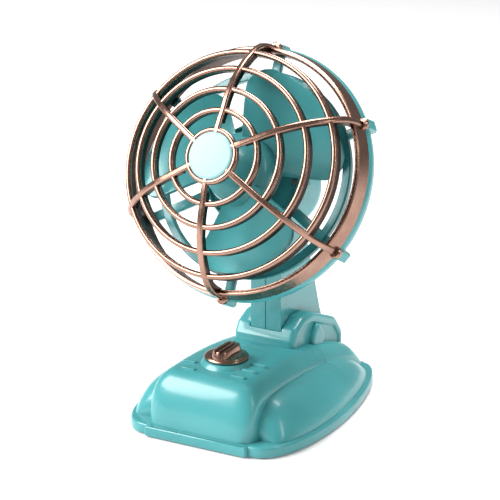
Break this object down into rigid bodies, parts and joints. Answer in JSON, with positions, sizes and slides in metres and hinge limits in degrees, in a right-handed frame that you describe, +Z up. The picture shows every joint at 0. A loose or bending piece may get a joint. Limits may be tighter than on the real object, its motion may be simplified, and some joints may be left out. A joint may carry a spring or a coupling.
{
  "type": "desk fan",
  "caption": "Small retro table fan: caged head with paddle blades on a deep neck that tilts in a saddle, over a rounded base with a speed knob.",
  "frame": {"origin": "on the table, under the middle of the base", "axes": "+Z up, -Y towards the front that the air leaves from, +X to the right seen from the front"},
  "size_m": [0.1032, 0.106, 0.1516],
  "materials": {
    "shell_plastic": "satin gloss moulded",
    "inner_plastic": "matte moulded",
    "cap_plastic": "satin moulded",
    "bronze_plating": "polished plating over plastic",
    "steel": "zinc plated",
    "brass": "sintered",
    "nylon": "natural nylon",
    "black_plastic": "moulded",
    "board": "phenolic laminate",
    "magnet": "sintered ferrite",
    "foot_rubber": "matte",
    "cell_jacket": "printed film jacket"
  },
  "bodies": {
    "base": {"base_shell": "shell_plastic", "base_plate": "inner_plastic", "rubber_feet": "foot_rubber", "base_screws": "steel", "battery_box": "inner_plastic", "battery_cells": "cell_jacket", "battery_contacts": "steel", "switch_board": "board", "rotary_switch": "black_plastic", "saddle": "shell_plastic", "tilt_pin": "steel"},
    "battery_door": {"battery_door": "inner_plastic"},
    "knob": {"speed_knob": "bronze_plating", "switch_shaft": "nylon"},
    "head": {"neck_left": "shell_plastic", "neck_right": "shell_plastic", "neck_screws": "steel", "friction_washers": "nylon", "motor_can": "steel", "motor_sleeve": "foot_rubber", "motor_bush": "brass", "motor_magnets": "magnet", "motor_end_bell": "black_plastic", "rear_guard": "shell_plastic", "guard_screws": "steel", "front_grille": "bronze_plating", "centre_cap": "cap_plastic"},
    "fan": {"impeller": "shell_plastic", "motor_shaft": "steel", "motor_rotor": "steel"}
  },
  "joints": [
    {"name": "head_tilt", "type": "hinge", "parent": "base", "child": "head", "pos_m": [0, 0.0245, 0.0218], "axis": [-1, 0, 0], "range_deg": [0, 25]},
    {"name": "fan_spin", "type": "hinge", "parent": "head", "child": "fan", "pos_m": [0, -0.0132, 0.1037], "axis": [0, -0.9018, 0.4321], "continuous": true},
    {"name": "knob_turn", "type": "hinge", "parent": "base", "child": "knob", "pos_m": [0, -0.0267, 0.029], "axis": [0, 0, -1], "range_deg": [0, 120]},
    {"name": "battery_door_hinge", "type": "hinge", "parent": "base", "child": "battery_door", "pos_m": [0, -0.00595, 0.0015], "axis": [1, 0, 0], "range_deg": [0, 75]}
  ]
}
